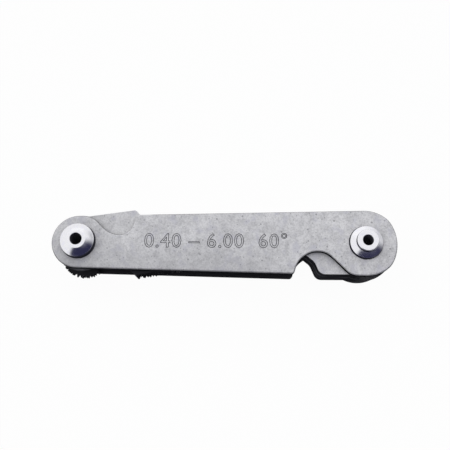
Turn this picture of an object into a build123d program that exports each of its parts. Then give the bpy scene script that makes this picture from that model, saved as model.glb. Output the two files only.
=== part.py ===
"""Thread pitch gauge for 60 degree metric threads.

Two steel plates form the case. A tubular rivet at each end clamps them and carries ten toothed leaves,
the fine pitches on the small end and the coarse ones on the big end. Each leaf swings out on its rivet.
"""
import math
import os

from build123d import *

# Lengths are in millimetres and angles in degrees. X runs along the case towards the big end, Y across
# it and Z up through the stack. The origin is the middle of the case, on the surface that it lies on.

# Case
case_length = 87.9
small_lobe_radius = 6.8
big_lobe_radius = 8.5
big_end_radius = 10.4
big_end_inset = 0.5
big_end_round = 6.0
plate_thickness = 1.5
plate_edge_bevel = 0.3

# Thumb notch beside the small end, measured from that rivet
small_notch_reach = 10.5
small_notch_floor = 1.9
small_notch_near_radius = 6.0
small_notch_far_radius = 3.5
small_notch_near_round = 5.5
small_notch_far_round = 0.9

# Thumb notch beside the big end, measured from that rivet
big_notch_reach = 12.15
big_notch_floor = 2.3
big_notch_near_radius = 4.9
big_notch_far_radius = 6.1
big_notch_near_round = 4.0
big_notch_far_round = 0.9
notch_far_lean = 15

# Leaf stack
leaf_thickness = 0.5
leaf_gap = 0.04
blade_split = 0.15
blade_gap = 0.9
leaf_clearance = 0.6

# Thread form: the pitches are multiples of one small step, which is a few hundredths of a millimetre.
# Teeth below the least flat pitch are plain points, the others have flats at crest and root.
pitch_step = 0.05
step_hundredths = 5
fine_pitch_shares = (8, 9, 10, 12, 14, 15, 16, 20, 25, 30)
coarse_pitch_shares = (35, 40, 50, 60, 70, 80, 90, 100, 110, 120)
thread_angle = 60
least_flat_pitch = 0.9
crest_flat_share = 1 / 8
root_flat_share = 1 / 4
tooth_end_land = 0.15

# Leaves of the small end, drawn with the rivet at the centre, the blade along +X and its teeth facing -Y
small_root_inset = 0.18
small_lug_rise = 8.2
small_lug_reach = 14.1
small_lug_drop = 45
small_lug_round = 0.9
small_foot_round = 3.0
small_neck = 5.0
small_tooth_start = 14.8
small_tooth_standout = 1.65
small_tip_width = 2.1
small_tip_setback = 1.2
small_tip_round = 0.8

# Leaves of the big end, drawn in the same way
big_root_inset = 0.35
big_lug_flat = 0.27
big_lug_reach = 11.7
big_lug_drop = 68
big_lug_round = 2.0
big_knee_height = 4.69
big_knee_drop = 39
big_knee_round = 3.0
big_foot_round = 6.0
big_neck = 6.0
big_tooth_start = 15.0
big_tooth_inset = 0.65
big_tip_width = 5.4
big_tip_setback = 1.5
big_tip_round = 1.5

# Further reach of the big end's lugs and root discs, for each layer down from the front plate
big_lug_step = 0.06
big_lug_reach_step = 0.05
big_root_step_along = 0.17
big_root_step_out = 0.12

# Leaf details that both ends share
shoulder_angle = 45
neck_round = 1.0
blank_allowance = 0.1
cut_overrun = 1.0

# Toothed heels on the rear leaves of the small end
heel_leaves = 3
heel_reach = 1.0
heel_drop = 2.0
heel_radius = 6.4
heel_start_angle = -156
heel_end_angle = -48

# Rivets and caps
shank_radius = 2.1
shank_fit = 0.01
pivot_clearance = 0.05
head_height = 3.0
head_rim = 0.45
head_crown = 0.3
mouth_bevel = 0.12
small_bore_radius = 1.48
small_head_radius = 4.47
small_head_flat = 2.3
big_bore_radius = 1.33
big_head_radius = 4.35
big_head_flat = 2.3
cap_height = 1.6
cap_rim = 0.35
cap_crown = 0.2
bead_overhang = 0.7
bead_bevel = 0.2

# Places that follow from the sizes
half_turn = 180
quarter_turn = 90
eighth_turn = 45
small_pivot_x = small_lobe_radius - case_length / 2
big_pivot_x = case_length / 2 + big_end_inset - big_lobe_radius
pivot_spacing = big_pivot_x - small_pivot_x
small_end = Pos(small_pivot_x, 0, 0)
big_end = Pos(big_pivot_x, 0, 0) * Rot(0, 0, half_turn)
case_lean = math.asin((big_lobe_radius - small_lobe_radius) / pivot_spacing)

leaves_per_end = len(fine_pitch_shares)
stack_height = leaves_per_end * leaf_thickness + (leaves_per_end + 1) * leaf_gap
back_plate_z = head_height
stack_z = back_plate_z + plate_thickness
front_plate_z = stack_z + stack_height
case_top_z = front_plate_z + plate_thickness
bead_radius = shank_radius + bead_overhang
leaf_bore_radius = shank_radius + pivot_clearance


class LeafForm:
    """Outline sizes of one end's leaves."""

    def __init__(self, root, bulge, lug_line, lug_rise, lug_reach, drops, rounds, neck, teeth, back, tip):
        self.root = root
        self.bulge = bulge
        self.lug_line = lug_line
        self.lug_rise = math.radians(lug_rise)
        self.lug_reach = lug_reach
        self.drops = drops
        self.lug_round, self.drop_rounds = rounds
        self.neck = neck
        self.tooth_start, self.tooth_level = teeth
        self.back = back
        self.tip_reach = 0
        self.tip_width, self.tip_setback, self.tip_round = tip

    def lug_points(self):
        """Corners from the lug's crown down to the back of the blade."""
        height = self.lug_line / math.cos(self.lug_rise) + self.lug_reach * math.tan(self.lug_rise)
        points = [(self.lug_reach, height)]
        for angle, level in self.drops:
            x, y = points[-1]
            points.append((x + (y - level) / math.tan(math.radians(angle)), level))
        return points

    def lug_start(self):
        """Point of the root disc where the lug's upper edge leaves it."""
        return (-self.lug_line * math.sin(self.lug_rise), self.lug_line * math.cos(self.lug_rise))

    def tooth_line(self):
        """Ends of the straight line that the tooth crests lie on."""
        start = (self.tooth_start, -self.tooth_level)
        return start, (self.tip_reach, self.back - self.tip_width)


def blade_reach(other_form):
    """Length of a blade whose tip clears the sweep of the other end's lugs."""
    foot_x, foot_y = other_form.lug_points()[-1]
    return pivot_spacing - math.hypot(foot_x, foot_y) - leaf_clearance


def small_form():
    root = small_lobe_radius - small_root_inset
    back = blade_split - blade_gap / 2
    return LeafForm(
        root=root,
        bulge=None,
        lug_line=root,
        lug_rise=small_lug_rise,
        lug_reach=small_lug_reach,
        drops=((small_lug_drop, back),),
        rounds=(small_lug_round, (small_foot_round,)),
        neck=small_neck,
        teeth=(small_tooth_start, small_lobe_radius + small_tooth_standout),
        back=back,
        tip=(small_tip_width, small_tip_setback, small_tip_round),
    )


def big_form(layer):
    """Form of a leaf of the big end, whose lug and root disc reach further out the deeper it lies."""
    root = big_lobe_radius - big_root_inset
    back = -blade_split - blade_gap / 2
    return LeafForm(
        root=root,
        bulge=(layer * big_root_step_along, layer * big_root_step_out),
        lug_line=root - big_lug_flat + layer * big_lug_step,
        lug_rise=0,
        lug_reach=big_lug_reach + layer * big_lug_reach_step,
        drops=((big_lug_drop, big_knee_height), (big_knee_drop, back)),
        rounds=(big_lug_round, (big_knee_round, big_foot_round)),
        neck=big_neck,
        teeth=(big_tooth_start, big_lobe_radius - big_tooth_inset),
        back=back,
        tip=(big_tip_width, big_tip_setback, big_tip_round),
    )


def leaf_forms():
    """Forms of both ends' leaves, one for each layer down from the front plate."""
    small_forms = [small_form() for _ in fine_pitch_shares]
    big_forms = [big_form(layer) for layer in range(len(coarse_pitch_shares))]
    for form in small_forms:
        form.tip_reach = blade_reach(big_forms[-1])
    for form in big_forms:
        form.tip_reach = blade_reach(small_forms[-1])
    return small_forms, big_forms


def blank_outline(form):
    """Leaf blank before its teeth are cut: neck, shoulder, blade and lug."""
    start, end = form.tooth_line()
    shoulder_run = (form.tooth_level - form.neck) / math.tan(math.radians(shoulder_angle))
    lug = form.lug_points()
    corners = [
        ((0, -form.neck), 0),
        ((start[0] - shoulder_run, -form.neck), neck_round),
        ((start[0] + blank_allowance, start[1] - blank_allowance), 0),
        ((end[0], end[1] - blank_allowance), 0),
        ((end[0] - form.tip_setback, form.back), form.tip_round),
    ]
    corners += list(zip(reversed(lug[1:]), reversed(form.drop_rounds)))
    corners += [(lug[0], form.lug_round), (form.lug_start(), 0)]
    points = [point for point, _ in corners]
    radii = [radius for _, radius in corners]
    return make_face(FilletPolyline(*points, radius=radii, close=True))


class Teeth:
    """One pitch's teeth, laid out along a straight or round line."""

    def __init__(self, pitch):
        has_flats = pitch > least_flat_pitch
        self.pitch = pitch
        self.crest_flat = crest_flat_share * pitch if has_flats else 0
        self.root_flat = root_flat_share * pitch if has_flats else 0
        self.flank_run = (pitch - self.crest_flat - self.root_flat) / 2
        self.depth = self.flank_run / math.tan(math.radians(thread_angle / 2))

    def stations(self, length):
        """Distances along the line and how deep each lies, for whole teeth in the middle of its length."""
        count = math.floor((length - 2 * tooth_end_land) / self.pitch)
        land = (length - count * self.pitch + self.crest_flat) / 2
        stations = [(land, 0)]
        for index in range(count):
            root = land + index * self.pitch + self.flank_run
            stations.append((root, self.depth))
            if self.root_flat:
                stations.append((root + self.root_flat, self.depth))
            stations.append((root + self.root_flat + self.flank_run, 0))
            if self.crest_flat:
                stations.append((land + (index + 1) * self.pitch, 0))
        return stations


def straight_comb(form, pitch):
    """Cutter that leaves the 60 degree teeth along the edge of a blade."""
    start, end = (Vector(*point) for point in form.tooth_line())
    along = (end - start).normalized()
    outward = Vector(along.Y, -along.X)
    points = [start - along * cut_overrun]
    for distance, depth in Teeth(pitch).stations((end - start).length):
        points.append(start + along * distance - outward * depth)
    points.append(end + along * cut_overrun)
    points.append(points[-1] + outward * cut_overrun)
    points.append(points[0] + outward * cut_overrun)
    return make_face(Polyline(*points, close=True))


def toothed_heel(pitch):
    """Round toothed sector under the rivet, about a centre of its own."""
    first = math.radians(heel_start_angle)
    last = math.radians(heel_end_angle)
    points = [(0, 0)]
    for distance, depth in Teeth(pitch).stations((last - first) * heel_radius):
        angle = first + distance / heel_radius
        radius = heel_radius - depth
        points.append((radius * math.cos(angle), radius * math.sin(angle)))
    return Pos(heel_reach, -heel_drop) * make_face(Polyline(*points, close=True))


def leaf(form, pitch, heel):
    outline = blank_outline(form) + Circle(form.root)
    if form.bulge:
        outline += Pos(*form.bulge) * Circle(form.root)
    if heel:
        outline += toothed_heel(pitch)
    outline -= straight_comb(form, pitch)
    outline -= Circle(leaf_bore_radius)
    return extrude(outline, amount=leaf_thickness)


def case_outline():
    """Outer edge of a plate: two lobes joined by straight edges, with the big end slightly flattened."""

    def tangent_point(pivot_x, radius, side):
        return (pivot_x - radius * math.sin(case_lean), side * radius * math.cos(case_lean))

    small_lobe = (small_pivot_x, small_lobe_radius)
    big_lobe = (big_pivot_x, big_lobe_radius)
    upper = Line(tangent_point(*small_lobe, 1), tangent_point(*big_lobe, 1))
    lower = Line(tangent_point(*small_lobe, -1), tangent_point(*big_lobe, -1))
    small_arc = ThreePointArc(upper @ 0, (small_pivot_x - small_lobe_radius, 0), lower @ 0)
    big_arc = ThreePointArc(upper @ 1, (big_pivot_x + big_lobe_radius, 0), lower @ 1)
    face = make_face([upper, big_arc, lower, small_arc])
    end_centre = case_length / 2 - big_end_radius
    beyond = Pos(end_centre + case_length / 2, 0) * Rectangle(case_length, case_length)
    face -= beyond - Pos(end_centre, 0) * Circle(big_end_radius)
    return fillet(face.vertices().sort_by(Axis.X)[-2:], big_end_round)


def notch_cutter(reach, floor, near_radius, far_radius, lobe_radius):
    """Thumb notch on the +Y side of a rivet at the centre, with its mouth past the edge of the case."""
    mouth = lobe_radius + cut_overrun
    near = CenterArc((reach, floor + near_radius), near_radius, -quarter_turn - eighth_turn, eighth_turn)
    far_turn = quarter_turn - notch_far_lean
    far = CenterArc((reach, floor + far_radius), far_radius, -quarter_turn, far_turn)
    near_rise = mouth - (near @ 0).Y
    far_rise = mouth - (far @ 1).Y
    near_side = Line(near @ 0, near @ 0 + Vector(-near_rise, near_rise))
    far_side = Line(far @ 1, far @ 1 + Vector(far_rise / math.tan(math.radians(far_turn)), far_rise))
    across = Line(far_side @ 1, near_side @ 1)
    return make_face([near_side, near, far, far_side, across])


def round_mouth(face, end, place, radii, rounds):
    """Round the two corners where a notch meets the case's edge."""
    reach, floor, lobe_radius = place
    near_radius, far_radius = radii
    diagonal = near_radius * (1 - math.cos(math.radians(eighth_turn)))
    near_x = reach - near_radius * math.sin(math.radians(eighth_turn))
    near_corner = (near_x - (lobe_radius - floor - diagonal), lobe_radius)
    far_corner = (reach + far_radius, lobe_radius)
    for corner, radius in zip((near_corner, far_corner), rounds):
        target = (end * Pos(*corner, 0)).position
        vertex = min(face.vertices(), key=lambda v: (Vector(v) - target).length)
        face = fillet(vertex, radius)
    return face


def plate_face():
    small_radii = (small_notch_near_radius, small_notch_far_radius)
    big_radii = (big_notch_near_radius, big_notch_far_radius)
    face = case_outline()
    face -= small_end * notch_cutter(small_notch_reach, small_notch_floor, *small_radii, small_lobe_radius)
    face -= big_end * notch_cutter(big_notch_reach, big_notch_floor, *big_radii, big_lobe_radius)
    small_rounds = (small_notch_near_round, small_notch_far_round)
    big_rounds = (big_notch_near_round, big_notch_far_round)
    small_place = (small_notch_reach, small_notch_floor, small_lobe_radius)
    big_place = (big_notch_reach, big_notch_floor, big_lobe_radius)
    face = round_mouth(face, small_end, small_place, small_radii, small_rounds)
    face = round_mouth(face, big_end, big_place, big_radii, big_rounds)
    for end in (small_end, big_end):
        face -= end * Circle(shank_radius + shank_fit)
    return face


def plate(z, outer_side):
    """Case plate with its edges bevelled on the outer side."""
    solid = Pos(0, 0, z) * extrude(plate_face(), amount=plate_thickness)
    outer_face = solid.faces().sort_by(Axis.Z)[outer_side]
    return chamfer(outer_face.outer_wire().edges(), plate_edge_bevel)


def dome_side(base_radius, flat_radius, rim, height, crown):
    """Points up the side of a turned collar: an upright rim, then two slopes that bulge by the crown."""
    middle = Vector((base_radius + flat_radius) / 2, (rim + height) / 2)
    slope = Vector(flat_radius - base_radius, height - rim).normalized()
    bulge = middle + Vector(slope.Y, -slope.X) * crown
    return [(base_radius, 0), (base_radius, rim), bulge, (flat_radius, height)]


def turned(points):
    """Solid of revolution about Z from an outline of radii and heights."""
    return revolve(Plane.XZ * make_face(Polyline(*points, close=True)), axis=Axis.Z)


def rivet(bore_radius, head_radius, flat_radius):
    """Tubular rivet seated at height zero: domed head above, shank below and a rolled bead at its end."""
    grip = case_top_z - back_plate_z + cap_height
    foot = grip + head_height - cap_height
    mouth_radius = bore_radius + mouth_bevel
    points = dome_side(head_radius, flat_radius, head_rim, head_height, head_crown)
    points += [(mouth_radius, head_height), (bore_radius, head_height - mouth_bevel)]
    points += [(bore_radius, mouth_bevel - foot), (mouth_radius, -foot)]
    points += [(bead_radius - bead_bevel, -foot), (bead_radius, bead_bevel - foot), (bead_radius, -grip)]
    points += [(shank_radius, -grip), (shank_radius, 0)]
    return turned(points)


def cap(base_radius):
    """Domed cap that spreads the load of a rolled bead, seated at height zero with its dome up."""
    hole_radius = shank_radius + shank_fit
    points = dome_side(base_radius, bead_radius, cap_rim, cap_height, cap_crown)
    points += [(hole_radius, cap_height), (hole_radius, 0)]
    return turned(points)


def leaf_name(share):
    """Name of a leaf after its pitch in millimetres, such as leaf_0_75_mm."""
    hundredths = share * step_hundredths
    return f"leaf_{hundredths // 100}_{hundredths % 100:02d}_mm"


def leaf_set(end, forms, shares, heels):
    """All leaves of one end, counted down from the front plate, with toothed heels on the last few."""
    leaves = {}
    for index, (form, share) in enumerate(zip(forms, shares)):
        z = front_plate_z - (index + 1) * (leaf_thickness + leaf_gap)
        has_heel = index >= len(shares) - heels
        leaves[leaf_name(share)] = end * Pos(0, 0, z) * leaf(form, share * pitch_step, has_heel)
    return leaves


def build():
    front_up = Pos(0, 0, case_top_z)
    back_down = Pos(0, 0, back_plate_z) * Rot(half_turn, 0, 0)
    nodes = {
        "front_plate": plate(front_plate_z, -1),
        "back_plate": plate(back_plate_z, 0),
        "small_rivet": small_end * front_up * rivet(small_bore_radius, small_head_radius, small_head_flat),
        "small_rivet_cap": small_end * back_down * cap(small_head_radius),
        "big_rivet": big_end * back_down * rivet(big_bore_radius, big_head_radius, big_head_flat),
        "big_rivet_cap": big_end * front_up * cap(big_head_radius),
    }
    small_forms, big_forms = leaf_forms()
    nodes.update(leaf_set(small_end, small_forms, fine_pitch_shares, heel_leaves))
    nodes.update(leaf_set(big_end, big_forms, coarse_pitch_shares, 0))
    return nodes


os.makedirs("parts", exist_ok=True)
for name, solid in build().items():
    export_step(solid, f"parts/{name}.step")
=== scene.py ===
"""Dressed model of a folding thread pitch gauge: riveted case plates, turned rivets and toothed leaves."""
import math

import bmesh
import bpy
from mathutils import Matrix, Vector


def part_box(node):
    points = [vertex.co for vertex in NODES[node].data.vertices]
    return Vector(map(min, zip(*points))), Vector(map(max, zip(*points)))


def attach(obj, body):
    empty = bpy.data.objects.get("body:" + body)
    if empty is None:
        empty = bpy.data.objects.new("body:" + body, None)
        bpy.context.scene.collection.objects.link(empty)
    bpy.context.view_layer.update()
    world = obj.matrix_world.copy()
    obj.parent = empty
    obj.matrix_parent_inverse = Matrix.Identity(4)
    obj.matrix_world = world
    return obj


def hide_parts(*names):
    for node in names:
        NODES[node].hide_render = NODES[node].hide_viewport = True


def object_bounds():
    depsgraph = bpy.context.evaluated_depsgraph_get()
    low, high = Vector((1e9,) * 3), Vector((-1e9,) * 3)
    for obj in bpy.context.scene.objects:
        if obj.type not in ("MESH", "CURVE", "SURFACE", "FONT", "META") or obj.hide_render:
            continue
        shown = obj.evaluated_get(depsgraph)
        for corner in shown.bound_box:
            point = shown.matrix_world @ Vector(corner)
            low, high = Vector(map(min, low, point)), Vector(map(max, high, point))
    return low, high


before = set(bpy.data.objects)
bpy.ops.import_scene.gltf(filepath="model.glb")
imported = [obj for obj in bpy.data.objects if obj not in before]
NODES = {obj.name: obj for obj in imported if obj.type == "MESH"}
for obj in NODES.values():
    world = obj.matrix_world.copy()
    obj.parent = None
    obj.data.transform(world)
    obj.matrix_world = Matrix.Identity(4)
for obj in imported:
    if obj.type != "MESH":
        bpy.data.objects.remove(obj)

bl_info = {
    "name": "Thread Pitch Gauge",
    "version": (1, 0, 0),
    "blender": (4, 5, 0),
    "location": "View3D > Sidebar > Gauge",
    "description": "Finishes, turned rivets, engraved numbers and a plain stage for a thread pitch gauge",
    "category": "Object",
}

MM = 0.001
CAD_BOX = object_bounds()
LEAVES = sorted(name for name in NODES if name.startswith("leaf_"))
# Leaves with a finer pitch than this, in millimetres, turn on the small rivet
FINE_LIMIT = 1.6
REST_PLANE = CAD_BOX[0].z
PLATE_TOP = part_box("front_plate")[1].z
BACK_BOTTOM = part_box("back_plate")[0].z


def middle(node):
    low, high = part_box(node)
    return (low + high) / 2


def pitch_of(leaf):
    whole, hundredths = leaf.split("_")[1:3]
    return float(f"{whole}.{hundredths}")


SMALL_PIVOT = middle("small_rivet").x
BIG_PIVOT = middle("big_rivet").x


# Node trees


class Signal:
    """A number in a node tree. Arithmetic on it adds Math nodes."""

    def __init__(self, wiring, socket):
        self.wiring = wiring
        self.socket = socket

    def maths(self, operation, *others, swap=False):
        values = [self, *others]
        if swap:
            values.reverse()
        node = self.wiring.node("ShaderNodeMath", {"operation": operation}, dict(enumerate(values)))
        return Signal(self.wiring, node.outputs[0])

    def __add__(self, other):
        return self.maths("ADD", other)

    __radd__ = __add__

    def __sub__(self, other):
        return self.maths("SUBTRACT", other)

    def __rsub__(self, other):
        return self.maths("SUBTRACT", other, swap=True)

    def __mul__(self, other):
        return self.maths("MULTIPLY", other)

    __rmul__ = __mul__

    def __abs__(self):
        return self.maths("ABSOLUTE")

    def rise(self, start, full, origin=0.0):
        """Smooth step from 0 at start to 1 at full, whichever is larger. Both count from the origin."""
        settings = {"interpolation_type": "SMOOTHSTEP"}
        inputs = {"Value": self, "From Min": origin + start, "From Max": origin + full}
        node = self.wiring.node("ShaderNodeMapRange", settings, inputs)
        return Signal(self.wiring, node.outputs["Result"])


class Wiring:
    """A node tree whose nodes are added one by one."""

    def __init__(self, tree):
        self.tree = tree

    def node(self, kind, settings=None, inputs=None):
        node = self.tree.nodes.new(kind)
        for key, value in (settings or {}).items():
            setattr(node, key, value)
        self.fill(node, inputs or {})
        return node

    def fill(self, node, inputs):
        for key, value in inputs.items():
            socket = node.inputs[key]
            if isinstance(value, Signal):
                self.tree.links.new(value.socket, socket)
            elif isinstance(value, bpy.types.NodeSocket):
                self.tree.links.new(value, socket)
            elif isinstance(value, tuple) and len(value) == 3 and socket.type == "RGBA":
                socket.default_value = (*value, 1)
            else:
                socket.default_value = value

    def axes(self, vector):
        """The three parts of a vector."""
        parts = self.node("ShaderNodeSeparateXYZ", None, {0: vector})
        return [Signal(self, output) for output in parts.outputs]

    def mix(self, factor, first, second):
        """Colour between first and second."""
        node = self.node("ShaderNodeMix", {"data_type": "RGBA"})
        self.fill(node, {0: factor, 6: first, 7: second})
        return node.outputs[2]


class Finish(Wiring):
    """A material that ends in a Principled shader."""

    def __init__(self, name):
        self.material = bpy.data.materials.new(name)
        self.material.use_nodes = True
        super().__init__(self.material.node_tree)
        self.shader = self.tree.nodes["Principled BSDF"]
        coordinates = self.node("ShaderNodeTexCoord").outputs
        self.place = coordinates["Object"]
        self.normal = coordinates["Normal"]

    def upright(self):
        """How far the surface faces straight up or down, from 0 on a wall to 1 on a face."""
        return abs(self.axes(self.normal)[2])

    def stretched(self, scale):
        inputs = {"Vector": self.place, "Scale": scale}
        return self.node("ShaderNodeMapping", {"vector_type": "POINT"}, inputs).outputs["Vector"]

    def noise(self, size, detail, offset, stretch=(1, 1, 1)):
        """Cloudy noise from 0 to 1 whose blotches are about size metres across."""
        settings = {"noise_dimensions": "4D"}
        inputs = {"Vector": self.stretched(stretch), "W": offset, "Scale": 1 / size, "Detail": detail}
        return Signal(self, self.node("ShaderNodeTexNoise", settings, inputs).outputs["Fac"])

    def specks(self, spacing, size, share):
        """Mask of small round specks. Only a share of the cells holds one."""
        inputs = {"Vector": self.place, "Scale": 1 / spacing, "Randomness": 1.0}
        node = self.node("ShaderNodeTexVoronoi", {"feature": "F1"}, inputs)
        parts = self.node("ShaderNodeSeparateColor", None, {0: node.outputs["Color"]})
        dice = Signal(self, parts.outputs[0])
        near = Signal(self, node.outputs["Distance"]).rise(size / spacing, 0.5 * size / spacing)
        return near * dice.rise(share, share * 0.9)

    def bump(self, height, distance, strength):
        inputs = {"Height": height, "Distance": distance, "Strength": strength}
        return self.node("ShaderNodeBump", None, inputs).outputs[0]

    def close(self, **sockets):
        self.fill(self.shader, {key.replace("_", " "): value for key, value in sockets.items()})
        return self.material


class Shaping(Wiring):
    """A Geometry Nodes tree with named inputs."""

    def __init__(self, name, inputs):
        super().__init__(bpy.data.node_groups.new(name, "GeometryNodeTree"))
        face = self.tree.interface
        face.new_socket("Geometry", in_out="INPUT", socket_type="NodeSocketGeometry")
        self.keys = {}
        for label, (kind, default) in inputs.items():
            socket = face.new_socket(label, in_out="INPUT", socket_type=kind)
            if default is not None:
                socket.default_value = default
            self.keys[label] = socket.identifier
        face.new_socket("Geometry", in_out="OUTPUT", socket_type="NodeSocketGeometry")
        self.source = self.node("NodeGroupInput").outputs

    def finish(self, geometry):
        self.node("NodeGroupOutput", None, {"Geometry": geometry})
        return self


def add_piece(name, data):
    piece = bpy.data.objects.new(name, data)
    bpy.context.scene.collection.objects.link(piece)
    return piece


def settle(piece, name, move=None):
    """Plain mesh piece from an object with live modifiers, or from a curve, with its place in its mesh."""
    bpy.context.view_layer.update()
    source = piece.evaluated_get(bpy.context.evaluated_depsgraph_get())
    mesh = bpy.data.meshes.new_from_object(source)
    if move is not None:
        mesh.transform(move)
    bpy.data.objects.remove(piece)
    mesh.name = name
    return add_piece(name, mesh)


def smooth(mesh, degrees):
    """Smooth shading, sharp where the surface turns by more than an angle in degrees."""
    mesh.shade_smooth()
    mesh.set_sharp_from_angle(angle=math.radians(degrees))


def coat(piece, material):
    """Gives a whole piece one material."""
    piece.data.materials.clear()
    piece.data.materials.append(material)


# Finishes

# How far up a surface faces where it turns from wall to face, on sheet steel and on rivets
FACE_SPAN = (0.5, 0.88)
RIVET_WALL_SPAN = (0.64, 0.4)
# What lies nearer than this to a rivet's axis is the wall of its bore
BORE_LIMIT = 2 * MM

# Blotches in sheet steel: size, the span of the noise that is used, and how much it counts
CLOUD, CLOUD_SPAN, CLOUD_SHARE = 7.0 * MM, (0.34, 0.66), 0.2
PATCH, PATCH_SPAN, PATCH_SHARE = 1.6 * MM, (0.37, 0.63), 0.32
GRAIN, GRAIN_SPAN, GRAIN_SHARE = 0.42 * MM, (0.36, 0.64), 0.48
TINT, TINT_SPAN, TINT_SHARE = 2.4 * MM, (0.52, 0.68), 0.5
STREAK, STREAK_SPAN, STREAK_STRETCH = 0.8 * MM, (0.52, 0.68), (0.12, 0.12, 1.4)

# Painted shade on the sheet steel, darker towards the lower side; the same grey dims it a little all over
# and more at the small end, and fades out towards the big end
DIM_SHARE = 0.07
DIM_LOWER, DIM_LOWER_SHARE = (2 * MM, -8 * MM), 0.26
DIM_END, DIM_END_SHARE = (-28 * MM, -36 * MM), 0.09
DIM_REACH = (26 * MM, 6 * MM)
DIM_GREY = (0.3, 0.3, 0.32)

# Small marks on the sheet steel, and painted glints
DUST_SPAN, DUST_SHARE, DUST_GREY = (0.58, 0.74), 0.35, (0.17, 0.17, 0.19)
GLINT_SHARE, GLINT_WHITE = 0.5, (0.95, 0.95, 0.95)
FINE_SPECK_SHARE, BIG_SPECK_SHARE, SPECK_GREY = 0.45, 0.5, (0.1, 0.1, 0.12)

# Depth of the bumps
SHEET_RELIEF = 0.02 * MM
RIVET_RELIEF = 0.01 * MM


def beyond(x, y, pivot, radius, soft=0.25 * MM):
    """Mask of what lies further than a radius from a rivet's axis. Its edge is soft on both sides."""
    away = (x - pivot).maths("POWER", 2.0) + y.maths("POWER", 2.0)
    return away.rise((radius - soft) ** 2, (radius + soft) ** 2)


def sheet_steel(name, look, seed, lightened, shaded=None):
    """Tumbled sheet steel with cloudy patches, dark specks, painted glints, and sheared walls that painted
    shade makes almost black.

    The two functions take the three coordinates. The first gives the share of a lighter colour in place of
    the painted shade on the walls and rounded edges, the second the share of painted shade on the faces.
    """
    f = Finish(name)
    x, y, z = f.axes(f.place)
    face = f.upright().rise(*FACE_SPAN)
    cloud = f.noise(CLOUD, detail=3.0, offset=seed)
    patch = f.noise(PATCH, detail=4.0, offset=seed + 3.1)
    grain = f.noise(GRAIN, detail=3.0, offset=seed + 7.7)
    tone = cloud.rise(*CLOUD_SPAN) * CLOUD_SHARE + patch.rise(*PATCH_SPAN) * PATCH_SHARE
    tone = tone + grain.rise(*GRAIN_SPAN) * GRAIN_SHARE
    bright = f.mix(tone, tuple(look.shade), tuple(look.colour))
    cast = f.noise(TINT, detail=3.0, offset=seed + 12.3).rise(*TINT_SPAN)
    tinted = f.mix(cast * TINT_SHARE, bright, tuple(look.tint))
    # Painted shade, darker towards the lower side; the grey also dims the steel a little all over and more
    # at the small end
    dimming = DIM_SHARE + DIM_LOWER_SHARE * y.rise(*DIM_LOWER) + DIM_END_SHARE * x.rise(*DIM_END)
    dimmed = f.mix(dimming * x.rise(*DIM_REACH), tinted, DIM_GREY)
    dusty = f.mix(grain.rise(*DUST_SPAN) * DUST_SHARE, dimmed, DUST_GREY)
    # Painted glints: white specks in the base colour that stand in for highlights
    glints = f.specks(spacing=1.1 * MM, size=0.2 * MM, share=0.25)
    glinting = f.mix(glints * GLINT_SHARE, dusty, GLINT_WHITE)
    fine_specks = f.specks(spacing=0.8 * MM, size=0.2 * MM, share=0.22)
    big_specks = f.specks(spacing=2.3 * MM, size=0.32 * MM, share=0.4)
    specks = fine_specks * FINE_SPECK_SHARE + big_specks * BIG_SPECK_SHARE
    spotted = f.mix(specks, glinting, SPECK_GREY)
    # Painted shade makes the walls almost black, with lighter stripes, and a lighter colour where the first
    # function gives it
    streak = f.noise(STREAK, detail=2.0, offset=1.9, stretch=STREAK_STRETCH)
    wall = f.mix(streak.rise(*STREAK_SPAN), tuple(look.wall), tuple(look.streak))
    wall = f.mix(lightened(x, y, z), wall, tuple(look.pale_wall))
    # Painted shade on the faces, as much as the second function gives
    shaded_faces = f.mix(shaded(x, y, z), spotted, tuple(look.painted_shade)) if shaded else spotted
    height = grain * 0.6 + patch * 0.9 - 0.8 * big_specks
    return f.close(
        Base_Color=f.mix(face, wall, shaded_faces),
        Metallic=face * look.metal,
        Specular_IOR_Level=0.0,
        Roughness=0.5 + 0.12 * tone + 0.1 * grain,
        Normal=f.bump(height, SHEET_RELIEF, strength=0.8),
    )


def bright_steel(look):
    """Polished rivet steel: bright slopes, with painted shade that makes the upright walls almost black and
    the bores dull.
    """
    f = Finish("Bright_Rivet_Steel")
    x, y, _ = f.axes(f.place)
    # Painted shade on the upright walls of heads and beads, and on the walls of the bores
    wall = f.upright().rise(*RIVET_WALL_SPAN)
    outside = beyond(x, y, SMALL_PIVOT, BORE_LIMIT) * beyond(x, y, BIG_PIVOT, BORE_LIMIT)
    bore = wall * (1.0 - outside)
    patch = f.noise(0.9 * MM, detail=3.0, offset=4.4)
    fine = f.noise(0.12 * MM, detail=2.0, offset=2.2, stretch=(1, 1, 5.0))
    colour = f.mix(patch.rise(0.45, 0.75) * 0.5, tuple(look.colour), tuple(look.tint))
    return f.close(
        Base_Color=f.mix(bore, f.mix(wall, colour, tuple(look.wall)), tuple(look.bore)),
        Metallic=1.0 - bore,
        Roughness=look.roughness + 0.1 * patch + 0.25 * wall,
        Normal=f.bump(patch * 0.7 + fine * 0.3, RIVET_RELIEF, strength=0.35),
    )


def dark_steel(name, colour):
    """Dull dark steel of etched numbers and engraved lines."""
    f = Finish(name)
    patch = f.noise(0.4 * MM, detail=2.0, offset=1.2)
    shade = tuple(part * 0.5 for part in colour)
    return f.close(Base_Color=f.mix(patch, shade, tuple(colour)), Metallic=0.2, Roughness=0.6 + 0.2 * patch)


def dress(node, material):
    """Gives every slot of a CAD node one material."""
    for slot in node.material_slots:
        slot.material = material


# Settings


def colour_property(name, description, default):
    return bpy.props.FloatVectorProperty(
        name=name, description=description, default=default, subtype="COLOR", size=3, min=0.0, max=1.0
    )


def length_property(name, description, default):
    return bpy.props.FloatProperty(
        name=name, description=description, default=default, min=0.0, unit="LENGTH", precision=5
    )


def plain_property(name, description, default, high=1.0):
    return bpy.props.FloatProperty(name=name, description=description, default=default, min=0.0, max=high)


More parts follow.
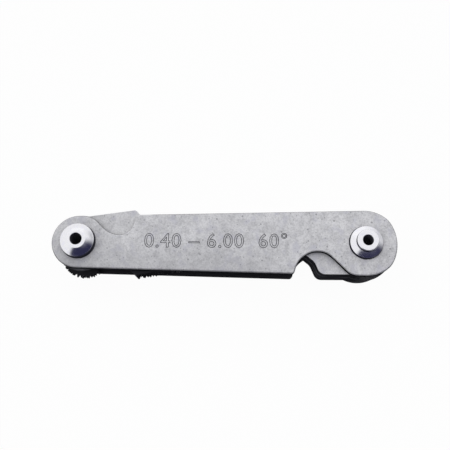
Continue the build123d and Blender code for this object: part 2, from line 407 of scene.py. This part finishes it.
class GAUGE_PG_plates(bpy.types.PropertyGroup):
    """Finish of the case plates."""

    colour: colour_property("Colour", "Light tone of the plate faces", (0.93, 0.93, 0.95))
    shade: colour_property("Shade", "Dark tone of the plate faces", (0.55, 0.55, 0.57))
    tint: colour_property("Tint", "Bluish cast in the patches", (0.6, 0.6, 0.68))
    # Painted shade that makes the sheared walls almost black
    wall: colour_property("Wall", "Sheared walls", (0.01, 0.01, 0.012))
    # Lighter stripes in the painted shade of the walls
    streak: colour_property("Streak", "Scuffs on the sheared walls", (0.04, 0.04, 0.045))
    # Lighter colour in place of the walls' painted shade along part of the top edge
    pale_wall: colour_property("Rub", "Edges that thumbs have worn bright", (0.6, 0.6, 0.62))
    # Painted shade on the faces inside the case
    painted_shade: colour_property("Oil", "Oiled faces inside the case", (0.038, 0.038, 0.043))
    metal: plain_property("Metal", "How metallic the faces are", 0.35)
    edge: length_property("Edge", "Width that is rounded off each side of the bevelled edges", 0.11 * MM)


class GAUGE_PG_leaves(bpy.types.PropertyGroup):
    """Finish of the toothed leaves."""

    colour: colour_property("Colour", "Light tone of the leaf faces", (0.89, 0.89, 0.91))
    shade: colour_property("Shade", "Dark tone of the leaf faces", (0.55, 0.55, 0.57))
    tint: colour_property("Tint", "Bluish cast in the patches", (0.58, 0.58, 0.66))
    # Painted shade that makes the sheared walls and tooth flanks dark
    wall: colour_property("Wall", "Sheared walls and tooth flanks", (0.026, 0.026, 0.03))
    # Lighter stripes in the painted shade of the walls
    streak: colour_property("Streak", "Scuffs on the walls", (0.13, 0.13, 0.14))
    # Painted sheen on the root walls below the rivets
    pale_wall: colour_property("Rub", "Root walls that turning has worn", (0.15, 0.15, 0.16))
    # Painted shade on the faces beside the teeth, on the heels and lugs, and on the root rims
    painted_shade: colour_property("Oil", "Oiled faces beside the teeth", (0.03, 0.03, 0.034))
    metal: plain_property("Metal", "How metallic the faces are", 0.35)


class GAUGE_PG_numbers(bpy.types.PropertyGroup):
    """Size and colour of the numbers."""

    leaf_height: length_property("Leaf height", "Size of the pitch numbers on the leaves", 2.9 * MM)
    case_height: length_property("Case height", "Size of the numbers on the front plate", 5.2 * MM)
    ink: colour_property("Ink", "Colour of the etched numbers", (0.03, 0.03, 0.035))
    groove: colour_property("Groove", "Colour of the engraved outlines", (0.05, 0.05, 0.065))


class GAUGE_PG_rivets(bpy.types.PropertyGroup):
    """Shape and finish of the rivets and caps."""

    colour: colour_property("Colour", "Bright steel", (0.83, 0.83, 0.86))
    tint: colour_property("Tint", "Bluish cast of the steel", (0.74, 0.74, 0.86))
    # Painted shade on the upright walls of heads and beads
    wall: colour_property("Wall", "Upright walls of heads and beads", (0.02, 0.02, 0.035))
    # Painted shade on the walls of the bores
    bore: colour_property("Bore", "Dull walls of the bores", (0.1, 0.1, 0.12))
    roughness: plain_property("Roughness", "Roughness of the polish", 0.16)
    segments: bpy.props.IntProperty(
        name="Segments", description="Faces round each rivet", default=96, min=12, max=256
    )


class GAUGE_PG_stage(bpy.types.PropertyGroup):
    """Camera and light."""

    tilt: bpy.props.FloatProperty(
        name="Tilt",
        description="Camera's lean from straight above",
        default=math.radians(14.83),
        subtype="ANGLE",
    )
    distance: length_property("Distance", "From the camera to the case", 168.75 * MM)
    focal_length: bpy.props.FloatProperty(
        name="Focal length", description="Lens in millimetres", default=52.84, min=1.0, unit="CAMERA"
    )
    sky: plain_property("Sky", "Strength of the soft light all round", 1.0, 4.0)
    key: plain_property("Key", "Power of the key light in watts", 0.12, 20.0)
    dark: colour_property("Dark side", "Dark part of the room in bright metal", (0.025, 0.025, 0.065))
    sheen: colour_property("Sheen", "Lighter upper part of the dark side", (0.18, 0.18, 0.22))


# Case plates


class GAUGE_OT_plates(bpy.types.Operator):
    """Rounds the edges of both case plates and gives them tumbled steel"""

    bl_idname = "gauge.plates"
    bl_label = "Case Plates"

    # Painted shade on the inner faces fades out between these depths inside each plate
    shade_depth = (0.3 * MM, 0.1 * MM)
    # Lighter stretch of the walls along the top edge: along from the small rivet, across from the middle,
    # and from the top
    pale_start = (10.5 * MM, 13 * MM)
    pale_end = (19 * MM, 18 * MM)
    pale_side = (0.5 * MM, 1.5 * MM)
    pale_top = (-0.6 * MM, -0.4 * MM)
    sharp_angle = 20
    flat_angle = 1
    weld = 0.0005 * MM

    def execute(self, context):
        look = context.scene.gauge_plates
        front_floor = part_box("front_plate")[0].z
        back_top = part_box("back_plate")[1].z

        # Painted shade on the faces inside the case
        def inside(x, y, z):
            deep, shallow = self.shade_depth
            return z.rise(-deep, -shallow, back_top) * z.rise(deep, shallow, front_floor)

        # Lighter colour in place of the walls' painted shade, along part of the top edge
        def paler_edge(x, y, z):
            along = x.rise(*self.pale_start, SMALL_PIVOT) * x.rise(*self.pale_end, SMALL_PIVOT)
            return along * y.rise(*self.pale_side) * z.rise(*self.pale_top, PLATE_TOP)

        steel = sheet_steel("Plate_Steel", look, seed=0.0, lightened=paler_edge, shaded=inside)
        for node, label in (("front_plate", "Front_Cover"), ("back_plate", "Back_Cover")):
            piece = add_piece(label + "_Blank", self.blank(NODES[node].data))
            smooth(piece.data, self.sharp_angle)
            bevel = piece.modifiers.new("Soft edges", "BEVEL")
            bevel.limit_method = "ANGLE"
            bevel.angle_limit = math.radians(self.sharp_angle)
            bevel.width = look.edge
            bevel.segments = 3
            bevel.harden_normals = True
            plate = settle(piece, label)
            coat(plate, steel)
            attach(plate, "case")
            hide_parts(node)
        return {"FINISHED"}

    def blank(self, source):
        """Copy of a plate's mesh with its flat faces whole."""
        shape = bmesh.new()
        shape.from_mesh(source)
        bmesh.ops.remove_doubles(shape, verts=shape.verts, dist=self.weld)
        bmesh.ops.dissolve_limit(
            shape,
            angle_limit=math.radians(self.flat_angle),
            use_dissolve_boundaries=False,
            verts=shape.verts,
            edges=shape.edges,
        )
        mesh = bpy.data.meshes.new("Plate_Blank")
        shape.to_mesh(mesh)
        shape.free()
        return mesh


# Rivets


def arc(centre, radius, first, last, steps):
    """Points of an arc in a half section, from angle first to angle last in degrees."""
    points = []
    for step in range(steps + 1):
        angle = math.radians(first + (last - first) * step / steps)
        points.append((centre[0] + radius * math.cos(angle), centre[1] + radius * math.sin(angle)))
    return points


def crowned(start, end, crown, steps):
    """Points of a shallow curve from start to end that bulges outwards by crown."""
    run, rise = end[0] - start[0], end[1] - start[1]
    length = math.hypot(run, rise)
    points = []
    for step in range(1, steps):
        share = step / steps
        bulge = 4 * crown * share * (1 - share)
        radius = start[0] + run * share + bulge * rise / length
        height = start[1] + rise * share - bulge * run / length
        points.append((radius, height))
    return points


class GAUGE_OT_rivets(bpy.types.Operator):
    """Turns the rivets and caps from their half sections"""

    bl_idname = "gauge.rivets"
    bl_label = "Rivets And Caps"

    # Radii, heights and roundings in millimetres. The two turn shares place the middle of the rounded rim
    small_bore, small_head = 1.48, 4.47
    big_bore, big_head = 1.33, 4.35
    head_flat, head_rim, head_crown = 2.3, 1.5, 0.11
    cap_flat, cap_rim, cap_crown = 2.5, 0.7, 0.02
    draft = 0.18
    rim_round = 0.14
    turn_in, turn_up = 0.25, 0.65
    lip_width, lip_drop = 0.1, 0.03
    shank = 2.1
    shank_play = 0.01
    mouth_round = 0.16
    bead, bead_round, foot_round = 2.8, 0.3, 0.12
    slope_steps = 14
    sharp_angle = 40
    weld = 0.0002 * MM

    def execute(self, context):
        look = context.scene.gauge_rivets
        tree = self.lathe(look.segments)
        steel = bright_steel(look)
        down = Matrix.Rotation(math.pi, 4, "X")
        up = Matrix.Identity(4)
        heights = {
            "grip": (PLATE_TOP - BACK_BOTTOM) / MM,
            "head": (CAD_BOX[1].z - PLATE_TOP) / MM,
            "cap": (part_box("big_rivet_cap")[1].z - PLATE_TOP) / MM,
        }
        small_rivet = self.rivet(self.small_bore, self.small_head, **heights)
        big_rivet = self.rivet(self.big_bore, self.big_head, **heights)
        small_cap = self.cap(self.small_head, heights["cap"])
        big_cap = self.cap(self.big_head, heights["cap"])
        turned = (
            ("small_rivet", "Small_Rivet", SMALL_PIVOT, PLATE_TOP, up, small_rivet),
            ("small_rivet_cap", "Small_Rivet_Cap", SMALL_PIVOT, BACK_BOTTOM, down, small_cap),
            ("big_rivet", "Big_Rivet", BIG_PIVOT, BACK_BOTTOM, down, big_rivet),
            ("big_rivet_cap", "Big_Rivet_Cap", BIG_PIVOT, PLATE_TOP, up, big_cap),
        )
        for node, label, x, z, turn, section in turned:
            mesh = bpy.data.meshes.new(label)
            mesh.from_pydata([(r * MM, 0, h * MM) for r, h in section], [], [])
            piece = add_piece(label + "_Section", mesh)
            modifier = piece.modifiers.new("Lathe", "NODES")
            modifier.node_group = tree.tree
            modifier[tree.keys["Material"]] = steel
            done = settle(piece, label, Matrix.Translation((x, 0, z)) @ turn)
            smooth(done.data, self.sharp_angle)
            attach(done, "case")
            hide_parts(node)
        return {"FINISHED"}

    def lathe(self, segments):
        """Tree that sweeps the points of a half section round the Z axis."""
        inputs = {"Segments": ("NodeSocketInt", segments), "Material": ("NodeSocketMaterial", None)}
        tree = Shaping("Lathe", inputs)
        section = tree.source["Geometry"]
        size = tree.node("GeometryNodeAttributeDomainSize", {"component": "MESH"}, {0: section})
        count = Signal(tree, size.outputs["Point Count"])
        columns = Signal(tree, tree.source["Segments"]) + 1.0
        grid = tree.node("GeometryNodeMeshGrid", None, {"Vertices X": columns, "Vertices Y": count + 1.0})
        position = tree.node("GeometryNodeInputPosition").outputs[0]
        column, row, _ = tree.axes(position)
        angle = (column + 0.5) * (2 * math.pi)
        index = ((row + 0.5) * count).maths("ROUND").maths("MODULO", count)
        sampled = tree.node(
            "GeometryNodeSampleIndex",
            {"data_type": "FLOAT_VECTOR", "domain": "POINT"},
            {"Geometry": section, "Value": position, "Index": index},
        )
        radius, _, height = tree.axes(sampled.outputs["Value"])
        place = {"X": radius * angle.maths("COSINE"), "Y": radius * angle.maths("SINE"), "Z": height}
        swept = tree.node("ShaderNodeCombineXYZ", None, place).outputs[0]
        shape = grid.outputs["Mesh"]
        for kind, inputs in (
            ("GeometryNodeSetPosition", {"Position": swept}),
            ("GeometryNodeMergeByDistance", {"Distance": self.weld}),
            ("GeometryNodeRealizeInstances", {}),
            ("GeometryNodeSetMaterial", {"Material": tree.source["Material"]}),
        ):
            shape = tree.node(kind, None, {"Geometry": shape, **inputs}).outputs[0]
        return tree.finish(shape)

    def side(self, base, flat, rim, height, crown):
        """Half section up the outside of a collar: steep rim, rounded shoulder, domed slope."""
        top = base - self.draft
        turn = (top - self.rim_round * self.turn_in, rim + self.rim_round * self.turn_up)
        shoulder = (top - self.rim_round, rim + self.rim_round)
        lip = (flat + self.lip_width, height - self.lip_drop)
        slope = crowned(shoulder, lip, crown, self.slope_steps)
        return [(base, 0), (top, rim), turn, shoulder, *slope, lip, (flat, height)]

    def rivet(self, bore, base, grip, head, cap):
        """Half section of a tubular rivet with its head above zero and a rolled bead below the grip."""
        foot = -(grip + head)
        seat = -(grip + cap)
        mouth = bore + self.mouth_round
        points = self.side(base, self.head_flat, self.head_rim, head, self.head_crown)
        points += arc((mouth, head - self.mouth_round), self.mouth_round, 90, 180, steps=5)
        points += arc((mouth, foot + self.mouth_round), self.mouth_round, 180, 270, steps=5)
        bead_middle = (self.bead - self.bead_round, foot + self.bead_round)
        points += arc(bead_middle, self.bead_round, 270, 360, steps=8)
        foot_middle = (self.bead - self.foot_round, seat - self.foot_round)
        points += arc(foot_middle, self.foot_round, 0, 90, steps=4)
        return points + [(self.shank, seat), (self.shank, 0)]

    def cap(self, base, height):
        """Half section of a domed cap that sits at zero."""
        hole = self.shank + self.shank_play
        points = self.side(base, self.cap_flat, self.cap_rim, height, self.cap_crown)
        return points + [(hole, height), (hole, 0)]


# Leaves


class GAUGE_OT_leaves(bpy.types.Operator):
    """Gives the leaves sheet steel with painted shade on the sheared edges and on some faces, and a painted
    sheen on the root walls
    """

    bl_idname = "gauge.leaves"
    bl_label = "Leaves"

    # Masks of painted shade on the faces and of painted sheen on the root walls. Each pair says where a
    # mask starts and where it is full, from the rivet's axis
    teeth_side = (-6.0 * MM, -7.0 * MM)
    heel_radius = 6.5 * MM
    heel_end = (8 * MM, 7 * MM)
    heel_side, heel_slope = (-0.5 * MM, -1.5 * MM), 0.5
    lug_line, lug_slope = 7.6 * MM, 0.35
    lug_side = (2.4 * MM, -0.4 * MM)
    lug_end = (-18 * MM, -17 * MM)
    rim_radius = 7.6 * MM
    rim_end = (-8 * MM, -7 * MM)
    rim_side = (-1 * MM, -2 * MM)
    root_start = (-3.5 * MM, 1 * MM)
    root_end = (8 * MM, 3 * MM)
    root_side = (-4 * MM, -5.5 * MM)
    fine_root_radius = 6.95 * MM
    # How strong the painted sheen is on the roots of the coarse leaves
    coarse_sheen = 0.85

    def execute(self, context):
        look = context.scene.gauge_leaves
        fine = self.pair("Fine_Leaf_Steel", look, 11.0, self.fine_root_sheen, self.fine_shade)
        coarse = self.pair("Coarse_Leaf_Steel", look, 31.0, self.coarse_root_sheen, self.coarse_shade)
        # The front coarse leaf gets no painted shade on its faces
        front_steel = sheet_steel("Front_Leaf_Steel", look, seed=41.0, lightened=self.coarse_root_sheen)
        coarse_leaves = [name for name in LEAVES if pitch_of(name) > FINE_LIMIT]
        front = max(coarse_leaves, key=lambda name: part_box(name)[1].z)
        for index, name in enumerate(LEAVES):
            finishes = fine if pitch_of(name) < FINE_LIMIT else coarse
            dress(NODES[name], front_steel if name == front else finishes[index % len(finishes)])
        return {"FINISHED"}

    def pair(self, name, look, seed, lightened, shaded):
        """Two steels with the same painted shade and painted sheen and other blotches, which the leaves of
        one end share.
        """
        steels = []
        for index in range(2):
            steels.append(sheet_steel(f"{name}_{index}", look, seed + 5.0 * index, lightened, shaded))
        return steels

    def fine_shade(self, x, y, z):
        """Painted shade on the faces beside the teeth of the fine leaves and on their toothed heels."""
        heel = beyond(x, y, SMALL_PIVOT, self.heel_radius) * x.rise(*self.heel_end, SMALL_PIVOT)
        low = (y + self.heel_slope * (x - SMALL_PIVOT)).rise(*self.heel_side)
        return y.rise(*self.teeth_side).maths("MAXIMUM", heel * low)

    def coarse_shade(self, x, y, z):
        """Painted shade on the faces of the lugs of the coarse leaves and on the rims of their roots."""
        line = y + self.lug_slope * (x - BIG_PIVOT) + self.lug_line
        lug = line.rise(*self.lug_side) * x.rise(*self.lug_end, BIG_PIVOT)
        rim = beyond(x, y, BIG_PIVOT, self.rim_radius) * x.rise(*self.rim_end, BIG_PIVOT)
        return lug.maths("MAXIMUM", rim * y.rise(*self.rim_side))

    def root_sheen(self, x, y, pivot):
        """Painted sheen on the wall of a root, below its rivet."""
        along = x.rise(*self.root_start, pivot) * x.rise(*self.root_end, pivot)
        return along * y.rise(*self.root_side)

    def fine_root_sheen(self, x, y, z):
        """Painted sheen on the plain roots of the fine leaves, without the toothed heels further out."""
        return self.root_sheen(x, y, SMALL_PIVOT) * (1.0 - beyond(x, y, SMALL_PIVOT, self.fine_root_radius))

    # Painted sheen on the roots of the coarse leaves
    def coarse_root_sheen(self, x, y, z):
        return self.root_sheen(x, y, BIG_PIVOT) * self.coarse_sheen


# Numbers


class GAUGE_OT_numbers(bpy.types.Operator):
    """Marks every leaf with its pitch, upright when it is swung out, and the case with its range"""

    bl_idname = "gauge.numbers"
    bl_label = "Pitch Numbers"

    relief = 0.012 * MM
    reach = 20.5 * MM
    drop = 3.7 * MM
    range_place = (-2.1 * MM, 0.15 * MM)
    range_spacing = 1.08
    line = 0.12 * MM
    line_depth = 0.072 * MM

    def execute(self, context):
        look = context.scene.gauge_numbers
        ink = dark_steel("Etched_Number", look.ink)
        for leaf in LEAVES:
            pitch = pitch_of(leaf)
            fine = pitch < FINE_LIMIT
            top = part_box(leaf)[1].z
            pivot = SMALL_PIVOT if fine else BIG_PIVOT
            side = 1 if fine else -1
            spot = Matrix.Translation((pivot + side * self.reach, -side * self.drop, top + self.relief / 2))
            place = spot @ Matrix.Rotation(math.pi, 4, "Z")
            text = self.text(f"{pitch:.2f}", look.leaf_height)
            text.extrude = self.relief / 2
            number = self.set_down(text, leaf.replace("leaf", "Number"), place, ink)
            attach(number, leaf)
        self.mark_case(look)
        return {"FINISHED"}

    def mark_case(self, look):
        """Engraves the outlines of the gauge's pitch range and thread angle on the front plate."""
        pitches = [pitch_of(leaf) for leaf in LEAVES]
        text = self.text(f"{min(pitches):.2f} \u2013 {max(pitches):.2f}  60\u00b0", look.case_height)
        text.space_character = self.range_spacing
        text.fill_mode = "NONE"
        text.bevel_depth = self.line
        text.bevel_resolution = 1
        groove = dark_steel("Engraved_Line", look.groove)
        place = Matrix.Translation((*self.range_place, PLATE_TOP - self.line_depth))
        marks = self.set_down(text, "Range_Marks", place, groove)
        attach(marks, "case")

    def text(self, words, height):
        text = bpy.data.curves.new("Number", "FONT")
        text.body = words
        text.align_x = "CENTER"
        text.align_y = "CENTER"
        text.size = height
        text.resolution_u = 3
        return text

    def set_down(self, text, name, place, material):
        piece = settle(add_piece("Draft", text), name, place)
        coat(piece, material)
        return piece


# Stage


class GAUGE_OT_stage(bpy.types.Operator):
    """Sets the camera, the floor and the soft light"""

    bl_idname = "gauge.stage"
    bl_label = "Stage"

    aim = (0.144 * MM, 4.46 * MM)
    yaw = 0.0055
    roll = 0.0048
    sensor = 36
    nearest = 0.01
    floor_reach = 3.0
    floor_white = (0.96, 0.96, 0.96)
    floor_glow = 0.96
    bore_radius, bore_soft, bore_glow = 3.5 * MM, 0.5 * MM, 0.02
    # Dark parts of the room: first and last bearing, how soft each of the two is, and how far up
    dark_sector = (math.radians(-128), math.radians(6), 0.12, 0.4)
    dark_heights = (0.985, 0.82)
    east_sector = (0.0, math.radians(50), 0.1, 0.3)
    east_heights = (0.6, 0.1)
    east_share = 0.45
    sheen_bearings = (math.radians(-70), math.radians(-20))
    sheen_heights = (0.5, 0.85)
    lamp_size = 0.6
    lamp_place = (-0.1, 0.5, 0.4)

    def execute(self, context):
        look = context.scene.gauge_stage
        scene = context.scene
        scene.view_settings.view_transform = "Standard"
        self.camera(scene, look)
        self.floor()
        self.world(scene, look)
        self.lamps(look)
        return {"FINISHED"}

    def camera(self, scene, look):
        camera = add_piece("Camera", bpy.data.cameras.new("Camera"))
        camera.data.lens = look.focal_length
        camera.data.sensor_width = self.sensor
        camera.data.clip_start = self.nearest
        camera.rotation_mode = "ZYX"
        camera.rotation_euler = (look.tilt, self.yaw, self.roll)
        turn = camera.rotation_euler.to_matrix()
        camera.location = Vector((*self.aim, PLATE_TOP)) + turn @ Vector((0, 0, look.distance))
        scene.camera = camera

    def floor(self):
        """White floor that keeps the shadow, and hardly glows at the foot of each rivet's bore."""
        finish = Finish("Floor_White")
        finish.close(Base_Color=self.floor_white, Roughness=0.9)
        x, y, _ = finish.axes(finish.place)
        small_foot = beyond(x, y, SMALL_PIVOT, self.bore_radius, self.bore_soft)
        big_foot = beyond(x, y, BIG_PIVOT, self.bore_radius, self.bore_soft)
        open_floor = self.bore_glow + (1 - self.bore_glow) * (small_foot * big_foot)
        rays = finish.node("ShaderNodeLightPath").outputs
        seen = Signal(finish, rays["Is Camera Ray"])
        for ray in ("Is Glossy Ray", "Is Transmission Ray"):
            seen = seen.maths("MAXIMUM", rays[ray])
        glow = finish.node("ShaderNodeEmission", None, {"Color": (1, 1, 1), "Strength": 1.0})
        share = seen * open_floor * self.floor_glow
        blend = {0: share, 1: finish.shader.outputs[0], 2: glow.outputs[0]}
        both = finish.node("ShaderNodeMixShader", None, blend)
        finish.fill(finish.tree.nodes["Material Output"], {"Surface": both.outputs[0]})
        mesh = bpy.data.meshes.new("Floor")
        corners = [(-1, -1), (1, -1), (1, 1), (-1, 1)]
        reach = self.floor_reach
        mesh.from_pydata([(x * reach, y * reach, REST_PLANE) for x, y in corners], [], [(0, 1, 2, 3)])
        mesh.materials.append(finish.material)
        add_piece("Floor", mesh)

    def sector(self, bearing, first, last, first_soft, last_soft):
        """Mask of the bearings from first to last."""
        after = bearing.rise(-first_soft, first_soft, first)
        return after * bearing.rise(last_soft, -last_soft, last)

    def world(self, scene, look):
        """Soft light all round, with two dark parts on the right that the bright metal mirrors."""
        world = bpy.data.worlds.new("Soft_Light")
        world.use_nodes = True
        sky = Wiring(world.node_tree)
        x, y, z = sky.axes(sky.node("ShaderNodeTexCoord").outputs["Generated"])
        bearing = y.maths("ARCTAN2", x)
        main = self.sector(bearing, *self.dark_sector) * z.rise(*self.dark_heights)
        east = self.sector(bearing, *self.east_sector) * self.east_share * z.rise(*self.east_heights)
        sheen = bearing.rise(*self.sheen_bearings) * z.rise(*self.sheen_heights)
        dusk = sky.mix(sheen, tuple(look.dark), tuple(look.sheen))
        shade = sky.mix(main.maths("MAXIMUM", east), (1, 1, 1), dusk)
        seen = sky.node("ShaderNodeLightPath").outputs["Is Camera Ray"]
        lit = sky.node("ShaderNodeBackground", None, {"Color": shade, "Strength": look.sky})
        white = sky.node("ShaderNodeBackground", None, {"Color": (1, 1, 1), "Strength": 1.0})
        both = sky.node("ShaderNodeMixShader", None, {0: seen, 1: lit.outputs[0], 2: white.outputs[0]})
        sky.fill(sky.tree.nodes["World Output"], {"Surface": both.outputs[0]})
        scene.world = world

    def lamps(self, look):
        light = bpy.data.lights.new("Key_Light", "AREA")
        light.size = self.lamp_size
        light.energy = look.key
        lamp = add_piece("Key_Light", light)
        lamp.location = self.lamp_place
        lamp.rotation_euler = lamp.location.to_track_quat("Z", "Y").to_euler()


class GAUGE_PT_sidebar(bpy.types.Panel):
    """Lists the steps of the gauge and their settings"""

    bl_idname = "GAUGE_PT_sidebar"
    bl_label = "Thread Pitch Gauge"
    bl_space_type = "VIEW_3D"
    bl_region_type = "UI"
    bl_category = "Gauge"

    def draw(self, context):
        for step in STEPS:
            self.layout.operator(step.bl_idname)
        for name, group in GROUPS.items():
            box = self.layout.box()
            settings = getattr(context.scene, name)
            for key in group.__annotations__:
                box.prop(settings, key)


GROUPS = {
    "gauge_plates": GAUGE_PG_plates,
    "gauge_leaves": GAUGE_PG_leaves,
    "gauge_rivets": GAUGE_PG_rivets,
    "gauge_numbers": GAUGE_PG_numbers,
    "gauge_stage": GAUGE_PG_stage,
}
STEPS = (GAUGE_OT_stage, GAUGE_OT_plates, GAUGE_OT_rivets, GAUGE_OT_leaves, GAUGE_OT_numbers)
CLASSES = (*GROUPS.values(), *STEPS, GAUGE_PT_sidebar)


def register():
    for item in CLASSES:
        bpy.utils.register_class(item)
    for name, group in GROUPS.items():
        setattr(bpy.types.Scene, name, bpy.props.PointerProperty(type=group))


def unregister():
    for name in GROUPS:
        delattr(bpy.types.Scene, name)
    for item in reversed(CLASSES):
        bpy.utils.unregister_class(item)


def main():
    register()
    bpy.ops.gauge.stage()
    bpy.ops.gauge.plates()
    bpy.ops.gauge.rivets()
    bpy.ops.gauge.leaves()
    bpy.ops.gauge.numbers()
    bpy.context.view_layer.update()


if __name__ == "__main__":
    main()
